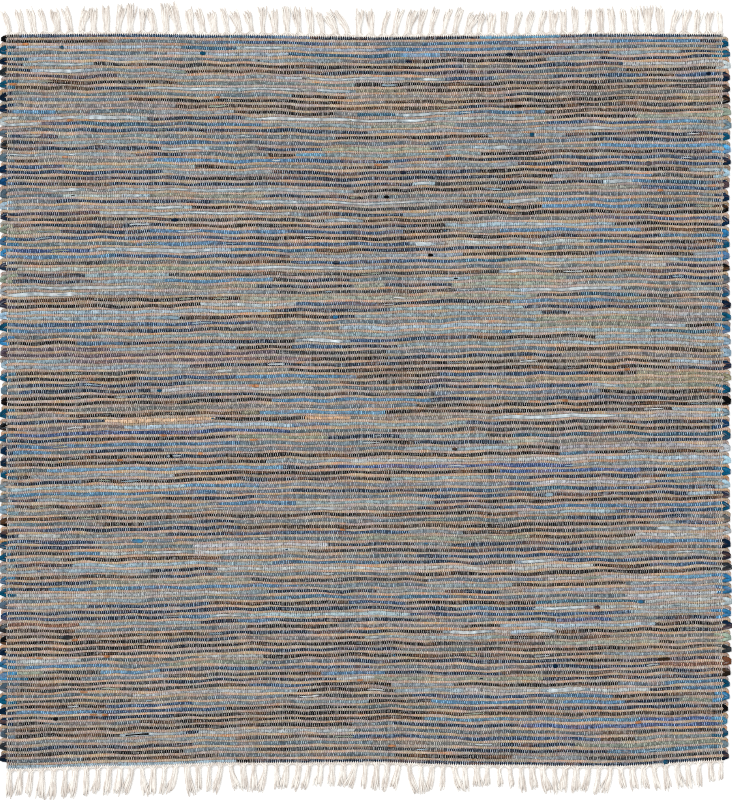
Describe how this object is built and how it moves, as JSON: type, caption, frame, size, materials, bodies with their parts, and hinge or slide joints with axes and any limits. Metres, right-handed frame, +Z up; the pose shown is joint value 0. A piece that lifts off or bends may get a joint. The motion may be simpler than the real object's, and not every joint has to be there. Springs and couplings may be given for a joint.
{
  "type": "rag rug",
  "caption": "Square flat-woven rag rug with ribbed denim rag rows between jute rows, scalloped selvedges and a knotted warp fringe at both ends.",
  "frame": {"origin": "middle of the rug's footprint, fringe included, on its underside", "axes": "+X along the rows, +Y from the near end to the far end along the warps, +Z up through the thickness"},
  "size_m": [1.83, 1.996, 0.007],
  "materials": {
    "rag_weave": "matt flat weave of denim rags and jute",
    "denim_rag": "matt washed denim strips in blues, greys and black",
    "jute": "matt coarse tan jute yarn",
    "warp_cotton": "matt unbleached cotton yarn"
  },
  "bodies": {
    "root": {"woven_field": "rag_weave", "far_fringe": "warp_cotton", "near_fringe": "warp_cotton"}
  },
  "joints": []
}
